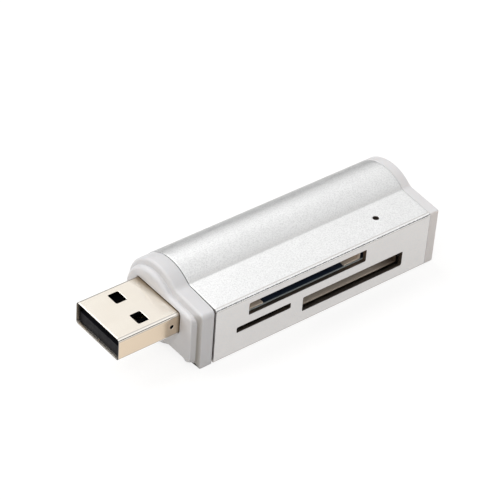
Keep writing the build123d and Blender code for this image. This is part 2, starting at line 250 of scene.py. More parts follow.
def keyhole(inset, edge, corner, notch):
    """Keyhole outline in y and z moved inwards by inset, one loop of points for each inset given.

    It runs up the slot face, along the shoulder, which falls a little that way, over the round and back under
    the block. Straight runs are linear between their ends, and the edges and the round are points at equal
    angles on circles. Each notch is an arc that touches the flat and the round, so its centre lies one notch
    radius above the flat and one notch radius outside the round.
    """
    columns = np.broadcast_arrays(inset, edge, corner, notch)
    inset, edge, corner, notch = (np.reshape(column, (-1, 1)) for column in columns)
    half = mid_height - inset
    radius = round_radius - inset
    notch = notch + inset
    notch_reach = np.sqrt((radius + notch) ** 2 - (half + notch) ** 2)
    turn = np.arctan2(half + notch, notch_reach)
    top = mid_height + half
    bottom = mid_height - half
    near = inset + corner
    shoulder_near = inset + edge
    fallen = top - shoulder_fall
    far = round_y - notch_reach
    pieces = (
        run((inset, bottom + corner), (inset, fallen - edge), slot_face_shares),
        arc((shoulder_near, fallen - edge), edge, 2 * quarter, quarter, corner_steps),
        run((shoulder_near, fallen), (far, top), shoulder_shares),
        arc((far, top + notch), notch, 3 * quarter, 4 * quarter - turn, notch_steps),
        arc((round_y, mid_height), radius, 2 * quarter - turn, turn - 2 * quarter, round_steps),
        arc((far, bottom - notch), notch, turn, quarter, notch_steps),
        run((far, bottom), (near, bottom), underside_shares),
        arc((near, bottom + corner), corner, 3 * quarter, 2 * quarter, corner_steps),
    )
    return np.concatenate(pieces, 1)


def rings(x, outlines):
    """Outlines in y and z set at their stations along x, as a grid of points."""
    column = np.broadcast_to(np.reshape(x, (-1, 1, 1)), (*outlines.shape[:2], 1))
    return np.concatenate((column, outlines), -1)


def quarter_round(radius, steps):
    """Quarter circle at an edge: how far each step stands in from the one face and from the other."""
    angle = np.linspace(0, quarter, steps + 1)
    return radius * (1 - np.cos(angle)), radius * (1 - np.sin(angle))


def quads(number):
    """Faces of a grid of point numbers, which look along the rows crossed with the columns."""
    corners = (number[:-1, :-1], number[1:, :-1], number[1:, 1:], number[:-1, 1:])
    return np.stack(corners, -1).reshape(-1, 4)


def numbered(shape):
    """Grid of point numbers, counted row by row."""
    return np.arange(math.prod(shape)).reshape(shape)


def closed(number, axis):
    """Grid of point numbers with its first row or column repeated at the end, to close the surface."""
    return np.concatenate((number, np.take(number, (0,), axis)), axis)


def rounded_loops(middle, half, corner, growth, counts, bend_steps):
    """Round-cornered rectangle grown on every side, one loop of points for each growth given.

    A loop runs along the bottom, up the right, back along the top and down the left. Each side goes from half
    way round one corner to half way round the next: equal angles on the corners, equal steps between them.
    """
    radius = corner + np.reshape(growth, (-1, 1))
    straight = np.subtract(half, corner)
    sides = []
    for side, count in enumerate(counts):
        step = np.arange(count)
        bend = min(bend_steps, count / 2)
        angle = np.interp(step, (0, bend, count - bend, count), (-quarter / 2, 0, 0, quarter / 2))
        along = straight[side % 2] * np.interp(step, (bend, count - bend), (-1, 1)) + radius * np.sin(angle)
        out = straight[1 - side % 2] + radius * np.cos(angle)
        turn = side * quarter
        across = middle[0] + math.cos(turn) * along + math.sin(turn) * out
        up = middle[1] + math.sin(turn) * along - math.cos(turn) * out
        sides.append(np.stack((across, up), -1))
    return np.concatenate(sides, 1)


def opening_rings(opening, counts):
    """Rings of points that lead from a wall's outer face into an opening and through to its back.

    Each ring is the opening's outline, grown and sunk. Over the rounded edge the growth and the depth follow
    a quarter circle, and the last ring is the plain outline at the wall's full depth.
    """
    depth, growth = quarter_round(opening["edge"], opening_edge_steps)
    growth = np.concatenate(([2 * opening["edge"]], growth, [0]))
    depth = np.concatenate(([0], depth, [opening["wall"]]))
    shape = (opening["middle"], opening["half"], opening["corner"])
    loops = rounded_loops(*shape, growth, counts, opening_corner_steps)
    height = opening["level"] - np.reshape(depth, (-1, 1, 1))
    return loops[..., :1] * x_axis + loops[..., 1:] * opening["across"] + height * opening["outwards"]


def pierced_wall(outer, inner, openings, is_tube):
    """Wall between two grids of points with the same rows and columns, with openings through it.

    The rows run along the reader and the columns round it. The grid's faces inside an opening's patch are
    left out, and a ladder of rings joins the patch's border on the outer grid to the same border on the inner
    one. The inside mark, which carries painted shade, is 1 on the inner face and on the walls of the
    openings, and 0 outside.
    """
    front = numbered(outer.shape[:2])
    rows, columns = front.shape
    count = front.size
    back = front + count
    points = [outer.reshape(-1, 3), inner.reshape(-1, 3)]
    inside = [np.zeros(count), np.ones(count)]
    total = 2 * count
    keep = np.ones((rows - 1, columns if is_tube else columns - 1), bool)
    faces = []
    for opening in openings:
        first_row, last_row = opening["rows"]
        first_column, last_column = opening["columns"]
        keep[first_row:last_row, first_column:last_column] = False
        border = np.concatenate((
            front[first_row:last_row, first_column],
            front[last_row, first_column:last_column],
            front[last_row:first_row:-1, last_column],
            front[first_row, last_column:first_column:-1],
        ))
        counts = (last_row - first_row, last_column - first_column) * 2
        ladder = opening_rings(opening, counts)
        number = total + numbered(ladder.shape[:2])
        number = np.concatenate((border[None], number, border[None] + count))
        faces.append(quads(closed(number, 1).T))
        points.append(ladder.reshape(-1, 3))
        inside.append(np.repeat(np.arange(len(ladder)) > opening_edge_steps, ladder.shape[1]))
        total += len(points[-1])
    if is_tube:
        front = closed(front, 1)
        back = closed(back, 1)
    else:
        faces.append(quads(np.stack((front[:, 0], back[:, 0]))))
        faces.append(quads(np.stack((back[:, -1], front[:, -1]))))
    faces.append(quads(front)[keep.ravel()])
    faces.append(quads(back)[keep.ravel()][:, ::-1])
    faces.append(quads(np.stack((back[0], front[0]))))
    faces.append(quads(np.stack((front[-1], back[-1]))))
    return np.concatenate(points), np.concatenate(faces).tolist(), {shade_mark_name: np.concatenate(inside)}


def wall_side(wall, across, outwards, level):
    """Side that an opening is in: its wall, the way across, the way out and its level that way."""
    return {"wall": wall, "across": across, "outwards": outwards, "level": level}


def make_opening(patch, middle, half, corner, edge, side):
    """Round-cornered opening through a wall, inside a patch of the wall's rows and columns."""
    outline = {"middle": middle, "half": half, "corner": corner, "edge": edge}
    return {"rows": patch[0], "columns": patch[1], **outline, **side}


def round_hole(patch, middle, radius, edge, side):
    """Small round hole through a wall."""
    return make_opening(patch, middle, (radius, radius), radius, edge, side)


def slot_opening(slot, rows, columns):
    """Card slot through the flat slot face."""
    half = (slot["width"] / 2, slot["height"] / 2)
    middle = (slot["start"] + half[0], slot["floor"] + half[1])
    side = wall_side(sleeve_wall, z_axis, -y_axis, 0)
    return make_opening((rows, columns), middle, half, slot_corner, slot_edge, side)


def bend_mark(from_one_face, from_the_other, radius):
    """Mark on a rounded edge between two faces: the sine of twice the angle round the edge."""
    return 2 * np.clip(1 - from_one_face / radius, 0, 1) * np.clip(1 - from_the_other / radius, 0, 1)


def border_line(from_side, from_flat, radius):
    """Mark for painted dark lines on the two thin lines where a rounded edge leaves its flats, falling off
    evenly to both sides.
    """
    beside = 1 - np.abs(radius - from_side - border_width) / border_width
    below = 1 - np.abs(radius - from_flat - border_width) / border_width
    return np.clip(np.where(from_flat < from_side, beside, below), 0, 1)


def sleeve_surface():
    """Keyhole outline carried along the sleeve, rounded over at its ends, with its slots and lamp pinhole."""
    along, inset = quarter_round(sleeve_edge, rim_steps)
    lamp_span = (lamp_x - lamp_hole_margin, lamp_x + lamp_hole_margin)
    stops = (sleeve_front + sleeve_edge, slot_column_split, *lamp_span, sleeve_length - sleeve_edge)
    middle, places = stations(stops, sleeve_steps)
    places = places + rim_steps
    x = np.concatenate((sleeve_front + along[:-1], middle, sleeve_length - along[-2::-1]))
    inset = np.concatenate((inset[:-1], np.zeros_like(middle), inset[-2::-1]))
    outer = rings(x, keyhole(inset, shoulder_edge - inset, edge_radius - inset, notch_radius))
    inner = rings(x, keyhole(np.full_like(x, sleeve_wall), edge_radius, edge_radius, notch_radius))
    lower = slot_face_places[:2]
    upper = slot_face_places[1:]
    lamp_patch = (places[2:4], (shoulder_start, shoulder_start + shoulder_steps))
    lamp_level = block_height - shoulder_fall * (1 - lamp_hole_inset / shoulder_width)
    shoulder = wall_side(sleeve_wall, y_axis, z_axis, lamp_level)
    openings = [
        slot_opening(large_slot, (places[0], places[-1]), upper),
        slot_opening(micro_slot, places[:2], lower),
        slot_opening(stick_slot, (places[1], places[-1]), lower),
        round_hole(lamp_patch, (lamp_x, lamp_hole_inset), lamp_hole_radius, lamp_hole_edge, shoulder),
    ]
    points, faces, marks = pierced_wall(outer, inner, openings, True)
    from_shoulder = slot_face_top - points[:, 2]
    on_shoulder = bend_mark(points[:, 1], from_shoulder, shoulder_edge)
    on_border = border_line(points[:, 1], from_shoulder, shoulder_edge)
    on_underside = bend_mark(points[:, 1], points[:, 2], edge_radius)
    # Painted highlight on the shoulder bend; painted shade along the underside bend and in dark lines where
    # the shoulder bend leaves its flats
    marks[edge_name] = on_shoulder * (1 - marks[shade_mark_name])
    edge_marks = np.maximum(low_edge_mark * on_underside, border_mark * on_border)
    marks[shade_mark_name] = np.maximum(marks[shade_mark_name], edge_marks)
    return points, faces, marks


def aperture_rings(x, growth, outline):
    """Plug aperture in the collar as rings, point for point opposite a keyhole outline.

    The outline's points that lie in the directions of the aperture's four corners start its four sides.
    """
    half = np.array((plug_width / 2 + plug_clearance, plug_height / 2 + plug_clearance))
    bearing = np.arctan2(outline[:, 1] - plug_middle, plug_y - outline[:, 0])
    corner_bearing = np.arctan2(half[1] * np.array((-1, -1, 1, 1)), half[0] * np.array((-1, 1, 1, -1)))
    apart = np.angle(np.exp(1j * (bearing[None] - corner_bearing[:, None])))
    starts = np.argmin(np.abs(apart), 1)
    counts = (np.roll(starts, -1) - starts) % len(outline)
    corner = plug_corner + plug_clearance
    loops = rounded_loops((-plug_y, plug_middle), half, corner, growth, counts, opening_corner_steps)
    loops = np.roll(loops * (-1, 1), starts[0], 1)
    return rings(x, loops)


def distance_to(outline, bearing):
    """Distance from the middle of the section to an outline in each of the given directions."""
    apart = outline - section_middle
    return np.interp(bearing, np.arctan2(apart[:, 1], apart[:, 0]), np.hypot(*apart.T), period=4 * quarter)


def fitted(outlines, other, choose):
    """Outlines whose distance from the middle of the section is chosen against that of another outline."""
    apart = outlines - section_middle
    bearing = np.arctan2(apart[..., 1], apart[..., 0])
    distance = choose(np.hypot(apart[..., 0], apart[..., 1]), distance_to(other, bearing))
    return section_middle + distance[..., None] * np.stack((np.cos(bearing), np.sin(bearing)), -1)


def collar_surface():
    """Rings from the plug aperture over the boss and the flange, back to the spigot, closed on themselves.

    Each ring is a keyhole outline at a station along x. Over the boss's front edge, into its foot and over
    the flange's two edges, the station and the inset follow quarter circles, which are tighter in front and
    wider behind down the slot side. The rings of the boss are moved inwards and down, in proportion to the
    distance across and up, less at the foot than in front, and kept within the flange. Down the slot side
    runs a shallow parting groove, half a wave of the cosine. The seam opens towards the slot side with the
    square of the distance from the far side. The inside mark is a painted shadow in the step: it rises along
    the foot as a sine, and falls off over the flange's rim and away from the slot side.
    """
    edge_along, edge_inset = quarter_round(boss_round, corner_steps)
    rim_along, rim_inset = quarter_round(flange_rim, corner_steps)
    foot_inset, foot_along = quarter_round(boss_foot, corner_steps)
    seam_along, seam_inset = quarter_round(flange_rear_edge, corner_steps)
    groove = np.linspace(-1, 1, parting_steps + 1)
    inset = np.concatenate((
        boss_inset + edge_inset,
        boss_inset - foot_inset,
        flange_inset + rim_inset,
        np.full_like(groove, flange_inset),
        flange_inset + seam_inset[::-1],
        spigot_insets,
    ))
    corner = np.concatenate((
        boss_corner - edge_inset,
        boss_corner + foot_inset,
        np.maximum(flange_corner - rim_inset, flange_corner / 2),
        np.full_like(groove, flange_corner),
        np.maximum(flange_corner - seam_inset[::-1], flange_corner / 2),
        np.full(len(spigot_insets), edge_radius),
    ))
    counts = (len(edge_along), len(foot_along), len(rim_along), len(groove), len(seam_along))
    ends = np.cumsum(counts)
    edge_rows, foot_rows, rim_rows, groove_rows, seam_rows = (slice(e - n, e) for e, n in zip(ends, counts))
    boss_rows = slice(0, foot_rows.stop)
    edge = corner + flange_edge - flange_corner
    edge[boss_rows] = corner[boss_rows]
    edge[seam_rows.stop:] = edge_radius
    notch = np.full_like(inset, end_notch_radius)
    notch[seam_rows.stop:] = notch_radius
    outlines = keyhole(inset, edge, corner, notch)
    flange_outline = outlines[groove_rows.start]
    away = np.clip(flange_outline[:, 0] / slot_side_reach, 0, 1)
    soft = crisp_share + (1 - crisp_share) * away
    seam_share = 1 - (1 - far_seam_share) * away
    wall_outline = outlines[foot_rows.start]
    outlines[edge_rows] = wall_outline + (outlines[edge_rows] - wall_outline) * soft[:, None]
    outlines[rim_rows] = flange_outline + (outlines[rim_rows] - flange_outline) * soft[:, None]
    outlines[seam_rows] = flange_outline + (outlines[seam_rows] - flange_outline) * seam_share[:, None]
    across = outlines[boss_rows] / (overall_width, block_height)
    shift = np.where(np.arange(foot_rows.stop) < foot_rows.start, boss_shift, foot_shift)[:, None]
    outlines[boss_rows, :, 0] += shift + across[..., 0] * (far_boss_shift - shift)
    outlines[boss_rows, :, 1] -= boss_drop + across[..., 1] * (top_boss_drop - boss_drop)
    outlines[boss_rows] = fitted(outlines[boss_rows], flange_outline, np.minimum)
    outlines[rim_rows] = fitted(outlines[rim_rows], outlines[foot_rows.stop - 1], np.maximum)
    opening = seam_opening * (1 - flange_outline[:, 0] / overall_width) ** 2
    flange_rear = -front_seam_gap - opening
    level = np.zeros_like(away)
    x = np.concatenate((
        boss_front + edge_along[:, None] * soft,
        -flange_thickness - foot_along[:, None] + level,
        -flange_thickness + rim_along[:, None] * soft,
        -parting_line + groove[:, None] * parting_width + level,
        flange_rear - seam_along[::-1, None] * seam_share,
        flange_rear[None],
        np.full((2, len(away)), spigot_length),
        -front_seam_gap + level[None],
    ))
    body = np.concatenate((x[..., None], outlines), -1)
    slot_side = body[groove_rows, :, 1] < edge_radius
    body[groove_rows, :, 1] += slot_side * parting_depth * np.cos(groove * quarter)[:, None]
    aperture_in, aperture_growth = quarter_round(aperture_edge, rim_steps)
    aperture_x = np.concatenate(([-front_seam_gap], boss_front + aperture_in[::-1]))
    growth = np.concatenate(([0], aperture_growth[::-1]))
    aperture = aperture_rings(aperture_x, growth, body[0, :, 1:])
    points = np.concatenate((aperture, body))
    number = numbered(points.shape[:2])
    # Painted shadow in the step between the boss and the flange
    step_shade = np.zeros(body.shape[:2])
    beside_slots = 1 - (1 - far_step_mark) * away
    rise = np.sin(np.linspace(0, quarter, len(foot_along)))
    step_shade[foot_rows.start - 1] = wall_step_mark * beside_slots
    step_shade[foot_rows] = (wall_step_mark + (1 - wall_step_mark) * rise)[:, None] * beside_slots
    step_shade[rim_rows] = np.linspace(rim_step_mark, 0, len(rim_along))[:, None] * beside_slots
    step_shade = np.concatenate((np.zeros(aperture.shape[:2]), step_shade))
    faces = quads(closed(closed(number, 0), 1)).tolist()
    return points.reshape(-1, 3), faces, {shade_mark_name: step_shade.ravel()}


def cap_surface():
    """Rings from the cap's hollow over the spigot, the flush side and the rim to its end face.

    Each ring is a keyhole outline at a station along x. The innermost ring at each end is filled by one face.
    """
    rim_along, rim_inset = quarter_round(cap_rim, corner_steps)
    seam_along, seam_inset = quarter_round(seam_edge, rim_steps)
    cap_start = sleeve_length + rear_seam_gap
    cap_end = sleeve_length + cap_thickness
    spigot_end = sleeve_length - spigot_length
    x = np.concatenate((
        np.full(len(face_insets), cap_start),
        (cap_start, spigot_end, spigot_end, cap_start),
        cap_start + seam_along,
        cap_end - rim_along[::-1],
        np.full(len(face_insets), cap_end),
    ))
    inset = np.concatenate((face_insets[::-1], spigot_insets[::-1], seam_inset, rim_inset[::-1], face_insets))
    inset[: len(face_insets)] = np.maximum(inset[: len(face_insets)], hollow_inset)
    corner = np.where(inset < edge_radius, np.maximum(edge_radius - inset, edge_radius / 2), edge_radius)
    edge = np.where(inset < edge_radius, np.maximum(cap_edge - inset, cap_edge / 2), edge_radius)
    points = rings(x, keyhole(inset, edge, corner, end_notch_radius))
    number = numbered(points.shape[:2])
    faces = quads(closed(number, 1)).tolist()
    faces.append(number[0].tolist())
    faces.append(number[-1, ::-1].tolist())
    return points.reshape(-1, 3), faces, {}


window_y = (plug_y - window_spread / 2, plug_y + window_spread / 2)
window_reach = window_width / 2 + window_margin
window_ends = [y + side for y in window_y for side in (-window_reach, window_reach)]
roof_marks = (plug_near + plug_corner, *window_ends, plug_far - plug_corner)
roof_shares, roof_places = shares(roof_marks, roof_steps)
lip = plug_y - seam_width / 2
floor_marks = (lip, *window_ends[1::-1], plug_near + plug_corner)
floor_shares, floor_places = shares(floor_marks, floor_steps)
side_shares = np.linspace(0, 1, plug_side_steps + 1)


def plug_loops(inset):
    """Folded sheet's outline in y and z moved inwards by inset, from one lip of the seam round to the other.

    Flats are linear between the bends, and each bend is a quarter circle about a fixed centre.
    """
    inset = np.reshape(inset, (-1, 1))
    bend = plug_corner - inset
    near = plug_near + plug_corner
    far = plug_far - plug_corner
    low = plug_bottom + plug_corner
    high = plug_top - plug_corner
    other_lip = plug_y + seam_width / 2
    floor = plug_bottom + inset
    roof = plug_top - inset
    pieces = (
        run((lip, floor), (near, floor), floor_shares),
        arc((near, low), bend, 3 * quarter, 2 * quarter, plug_bend_steps),
        run((plug_near + inset, low), (plug_near + inset, high), side_shares),
        arc((near, high), bend, 2 * quarter, quarter, plug_bend_steps),
        run((near, roof), (far, roof), roof_shares),
        arc((far, high), bend, quarter, 0, plug_bend_steps),
        run((plug_far - inset, high), (plug_far - inset, low), side_shares),
        arc((far, low), bend, 0, -quarter, plug_bend_steps),
        run((far, floor), (other_lip, floor), np.append(1 - floor_shares[::-1], 1)),
    )
    return np.concatenate(pieces, 1)


def plug_window(y, rows, columns, side):
    """Latch window through the plug's roof or floor."""
    half = (window_length / 2, window_width / 2)
    middle = (plug_tip + window_setback + half[0], y * side["across"][1])
    return make_opening((rows, columns), middle, half, window_corner, window_edge, side)


def plug_side_hole(rows, first_column, side):
    """Small round hole through one side of the plug."""
    patch = (rows, (first_column, first_column + plug_side_steps))
    middle = (plug_tip + side_hole_setback, plug_middle * side["across"][2])
    return round_hole(patch, middle, side_hole_radius, side_hole_edge, side)


def plug_surface():
    """Folded sheet carried along the plug, rounded at the mouth, with its latch windows and side holes.

    The sheet's thickness grows in proportion to the distance from the mouth, from the lip to the full sheet.
    """
    nose_along, nose_inset = quarter_round(plug_nose, rim_steps)
    hole_reach = side_hole_radius + side_hole_margin
    stops = (
        plug_tip + plug_nose,
        plug_tip + window_setback - window_margin,
        plug_tip + window_setback + window_length + window_margin,
        plug_tip + side_hole_setback - hole_reach,
        plug_tip + side_hole_setback + hole_reach,
        plug_end,
    )
    body, places = stations(stops, plug_steps)
    places = places + rim_steps
    x = np.concatenate((plug_tip + nose_along[:-1], body))
    inset = np.concatenate((nose_inset[:-1], np.zeros_like(body)))
    outer = rings(x, plug_loops(inset))
    taper = np.clip((x - plug_tip) / plug_lip_depth, 0, 1)
    inner = rings(x, plug_loops(plug_lip + (plug_sheet - plug_lip) * taper))
    floor_count = floor_places[-1]
    side_start = floor_count + plug_bend_steps
    roof_start = side_start + plug_side_steps + plug_bend_steps
    far_side_start = roof_start + roof_places[-1] + plug_bend_steps
    far_floor_start = far_side_start + plug_side_steps + plug_bend_steps
    window_rows = places[1:3]
    hole_rows = places[3:5]
    near_columns = floor_places[1:3]
    far_columns = far_floor_start + floor_count - near_columns[::-1]
    roof_near = roof_start + roof_places[1:3]
    roof_far = roof_start + roof_places[3:5]
    roof = wall_side(plug_sheet, y_axis, z_axis, plug_top)
    floor = wall_side(plug_sheet, -y_axis, -z_axis, -plug_bottom)
    openings = [
        plug_window(window_y[0], window_rows, roof_near, roof),
        plug_window(window_y[1], window_rows, roof_far, roof),
        plug_window(window_y[0], window_rows, near_columns, floor),
        plug_window(window_y[1], window_rows, far_columns, floor),
        plug_side_hole(hole_rows, side_start, wall_side(plug_sheet, z_axis, -y_axis, -plug_near)),
        plug_side_hole(hole_rows, far_side_start, wall_side(plug_sheet, -z_axis, y_axis, plug_far)),
    ]
    points, faces, marks = pierced_wall(outer, inner, openings, False)
    from_side = plug_width / 2 - np.abs(points[:, 1] - plug_y)
    from_roof_or_floor = plug_height / 2 - np.abs(points[:, 2] - plug_middle)
    # Painted highlight on the bends; the inside mark is painted shade, lighter near the mouth, with painted
    # dark lines beside the bends and on the mouth's rim
    marks[edge_name] = bend_mark(from_side, from_roof_or_floor, plug_corner) * (1 - marks[shade_mark_name])
    on_border = border_line(from_side, from_roof_or_floor, plug_corner) * (1 - marks[shade_mark_name])
    from_tip = points[:, 0] - plug_tip
    marks[shade_mark_name] *= mouth_mark + (1 - mouth_mark) * np.clip(from_tip / mouth_light, 0, 1)
    edge_marks = np.maximum(border_mark * on_border, nose_mark * (from_tip < plug_nose / 2))
    marks[shade_mark_name] = np.maximum(marks[shade_mark_name], edge_marks)
    return points, faces, marks


# Node groups shared by the finishes
spread_limits = (0.3, 0.7)
speckle_limits = (0.42, 0.68)
facing_limits = (0.5, 0.9)
grain_noise = {"Detail": 3.0, "Roughness": 0.6}
mask_noise = {"Detail": 4.0, "Roughness": 0.55}
drift_noise = {"Detail": 2.0, "Roughness": 0.5}


def new_group(name, inputs, outputs):
    """Empty shader node group with the named sockets, and its input and output nodes."""
    group = bpy.data.node_groups.new(name, "ShaderNodeTree")
    for way, sockets in (("INPUT", inputs), ("OUTPUT", outputs)):
        for title, kind in sockets.items():
            group.interface.new_socket(title, in_out=way, socket_type="NodeSocket" + kind)
    return group, group.nodes.new("NodeGroupInput"), group.nodes.new("NodeGroupOutput")


def feed(node, values):
    """Values for a node's sockets: another node's output is linked, and a plain value is set."""
    for title, value in values.items():
        if isinstance(value, bpy.types.NodeSocket):
            node.id_data.links.new(value, node.inputs[title])
        else:
            node.inputs[title].default_value = value


def add_node(tree, kind, values=None, **settings):
    """New shader node in a tree, with its settings made and its sockets fed."""
    made = tree.nodes.new("ShaderNode" + kind)
    for title, setting in settings.items():
        setattr(made, title, setting)
    feed(made, values or {})
    return made


def noise(tree, place, scale, values):
    """Noise at a place, drawn at a scale."""
    return add_node(tree, "TexNoise", {"Vector": place, "Scale": scale, **values}).outputs["Fac"]


def ramp(tree, value, limits, ends=(0.0, 1.0)):
    """Value spread evenly from one end to the other between two limits, and held beyond them."""
    spread = {"From Min": limits[0], "From Max": limits[1], "To Min": ends[0], "To Max": ends[1]}
    return add_node(tree, "MapRange", {"Value": value, **spread}).outputs["Result"]


def mixed(tree, kind, mask, under, over):
    """Two values of one kind mixed by a mask, which shows the second where it is 1."""
    values = {"Factor": mask, "A": under, "B": over}
    return add_node(tree, "Mix", values, data_type=kind).outputs["Result"]


def make_grain_group():
    """Fine grain: noise on stretched object coordinates, with a slower mask of the same kind."""
    inputs = {"Scale": "Float", "Stretch": "Vector", "Mask Scale": "Float"}
    group, entry, leave = new_group("fine_grain", inputs, {"Height": "Float", "Mask": "Float"})
    factors = {0: add_node(group, "TexCoord").outputs["Object"], 1: entry.outputs["Stretch"]}
    place = add_node(group, "VectorMath", factors, operation="MULTIPLY").outputs["Vector"]
    grain = noise(group, place, entry.outputs["Scale"], grain_noise)
    mask = noise(group, place, entry.outputs["Mask Scale"], mask_noise)
    feed(leave, {"Height": grain, "Mask": mask})
    return group


def make_tone_group():
    """Slow drift between two tones of one finish, by soft noise on object coordinates."""
    inputs = {"Tone": "Color", "Other Tone": "Color", "Scale": "Float"}
    group, entry, leave = new_group("tone_drift", inputs, {"Tone": "Color"})
    place = add_node(group, "TexCoord").outputs["Object"]
    cloud = ramp(group, noise(group, place, entry.outputs["Scale"], drift_noise), spread_limits)
    feed(leave, {"Tone": mixed(group, "RGBA", cloud, entry.outputs["Tone"], entry.outputs["Other Tone"])})
    return group


grain_group = make_grain_group()
tone_group = make_tone_group()
even = (1.0, 1.0, 1.0)
small_part_drift = 300.0
small_part_grain = 9000.0
small_part_mask = 900.0


def fine_grain(scale, mask_scale=small_part_mask, stretch=even):
    """Values of a finish's grain: its scale, that of its mask and how far it is drawn out."""
    return {"Scale": scale, "Mask Scale": mask_scale, "Stretch": stretch}


def make_finish(name, tones, depth, roughness, drift=small_part_drift, grain=None, values=None):
    """Finish with drifting tone, grain in its relief and a roughness that varies between two values."""
    grain = grain or fine_grain(small_part_grain)
    material = bpy.data.materials.new(name)
    material.use_nodes = True
    tree = material.node_tree
    tone_values = {"Tone": (*tones[0], 1.0), "Other Tone": (*tones[1], 1.0), "Scale": drift}
    tone = add_node(tree, "Group", tone_values, node_tree=tone_group)
    fine = add_node(tree, "Group", grain, node_tree=grain_group, name=grain_group.name)
    relief = {"Strength": 1.0, "Distance": depth * mm, "Height": fine.outputs["Height"]}
    feed(tree.nodes["Principled BSDF"], {
        "Base Color": tone.outputs["Tone"],
        "Roughness": ramp(tree, fine.outputs["Mask"], spread_limits, roughness),
        "Normal": add_node(tree, "Bump", relief).outputs["Normal"],
        **(values or {}),
    })
    return material


def lay_over(material, mask, title, value, kind):
    """Another value laid over one of a finish's sockets where a mask is 1."""
    shader = material.node_tree.nodes["Principled BSDF"]
    under = shader.inputs[title].links[0].from_socket
    feed(shader, {title: mixed(material.node_tree, kind, mask, under, value)})


def tint(material, mask, tone):
    """Another tone laid over a finish where a mask is 1."""
    lay_over(material, mask, "Base Color", (*tone, 1.0), "RGBA")


def smooth_over(material, mask, roughness):
    """Another roughness laid over a finish where a mask is 1."""
    lay_over(material, mask, "Roughness", roughness, "FLOAT")


def speckle_mask(material):
    """Mask that is 1 on the peaks of a finish's own grain."""
    tree = material.node_tree
    return ramp(tree, tree.nodes[grain_group.name].outputs["Height"], speckle_limits)


def marked(material, name):
    """Mask read from a mark on the skin."""
    return add_node(material.node_tree, "Attribute", attribute_name=name).outputs["Fac"]


def along(tree, vector, way):
    """Length of a vector along a direction."""
    return add_node(tree, "VectorMath", {0: vector, 1: way}, operation="DOT_PRODUCT").outputs["Value"]


def level_mask(material, way, low, high):
    """Mask that goes from 0 at one level to 1 at another along one of the reader's directions."""
    tree = material.node_tree
    place = add_node(tree, "TexCoord").outputs["Object"]
    start = float(np.dot(reader_origin, way))
    return ramp(tree, along(tree, place, way), (start + low * mm, start + high * mm))


def facing_mask(material, way, both_ways=False):
    """Mask that is 1 on the faces that look along a direction, or against it too."""
    tree = material.node_tree
    facing = along(tree, add_node(tree, "NewGeometry").outputs["Normal"], way)
    if both_ways:
        facing = add_node(tree, "Math", {0: facing}, operation="ABSOLUTE").outputs["Value"]
    return ramp(tree, facing, facing_limits)


# Finishes: each has two tones, and where they differ from a small part's, the drift of tone and the grain
metal = {"Metallic": 1.0}
along_plug = (0.05, 1.0, 1.0)
along_sheet = (1.0, 0.1, 1.0)
moulding = {
    "drift": 120.0,
    "grain": fine_grain(5000.0, 500.0),
    "depth": 0.0015,
    "roughness": (0.36, 0.44),
    "values": {"Subsurface Weight": 0.25, "Subsurface Radius": (1.0, 0.85, 0.75), "Subsurface Scale": 0.0008},
}
aluminium = make_finish(
    "blasted_aluminium", ((0.775, 0.777, 0.775), (0.805, 0.807, 0.804)),
    drift=90.0, grain=fine_grain(4000.0, 700.0), depth=0.035, roughness=(0.4, 0.48), values=metal,
)
milky_moulding = make_finish("milky_moulding", ((0.7, 0.692, 0.7), (0.725, 0.717, 0.725)), **moulding)
# The cap's copy of the collar's moulding, a little lighter: painted light on the cap
cap_moulding_lit_copy = make_finish("cap_moulding_lit_copy", ((0.735, 0.721, 0.724), (0.76, 0.746, 0.749)), **moulding)
nickel = make_finish(
    "warm_nickel", ((0.855, 0.795, 0.705), (0.875, 0.82, 0.735)), values=metal,
    drift=150.0, grain=fine_grain(14000.0, 1200.0, along_plug), depth=0.0006, roughness=(0.16, 0.22),
)
black_moulding = make_finish(
    "black_moulding", ((0.006, 0.006, 0.008), (0.01, 0.01, 0.013)), values={"Specular IOR Level": 0.12},
    grain=fine_grain(6000.0), depth=0.002, roughness=(0.45, 0.6),
)
gold_plate = make_finish(
    "gold_plate", ((0.83, 0.62, 0.26), (0.86, 0.67, 0.32)), values=metal,
    depth=0.0005, roughness=(0.2, 0.3),
)
solder_mask = make_finish(
    "solder_mask", ((0.016, 0.026, 0.05), (0.026, 0.04, 0.07)),
    drift=700.0, grain=fine_grain(5000.0), depth=0.003, roughness=(0.3, 0.42),
)
stamped_sheet = make_finish(
    "stamped_sheet", ((0.92, 0.78, 0.64), (0.97, 0.84, 0.7)), values={"Metallic": 0.2},
    drift=200.0, grain=fine_grain(8000.0, stretch=along_sheet), depth=0.001, roughness=(0.35, 0.5),
)
matt_moulding = make_finish(
    "matt_moulding", ((0.035, 0.035, 0.035), (0.05, 0.05, 0.05)),
    depth=0.003, roughness=(0.55, 0.7),
)
tin_plate = make_finish(
    "tin_plate", ((0.7, 0.7, 0.69), (0.76, 0.76, 0.75)), values=metal,
    depth=0.001, roughness=(0.3, 0.42),
)
fired_ceramic = make_finish(
    "fired_ceramic", ((0.44, 0.32, 0.2), (0.5, 0.37, 0.24)),
    drift=400.0, depth=0.002, roughness=(0.5, 0.65),
)
clear_lens = make_finish(
    "clear_lens", ((0.7, 0.76, 0.68), (0.76, 0.82, 0.74)), values={"Transmission Weight": 0.4},
    drift=500.0, grain=fine_grain(6000.0), depth=0.0005, roughness=(0.12, 0.2),
)

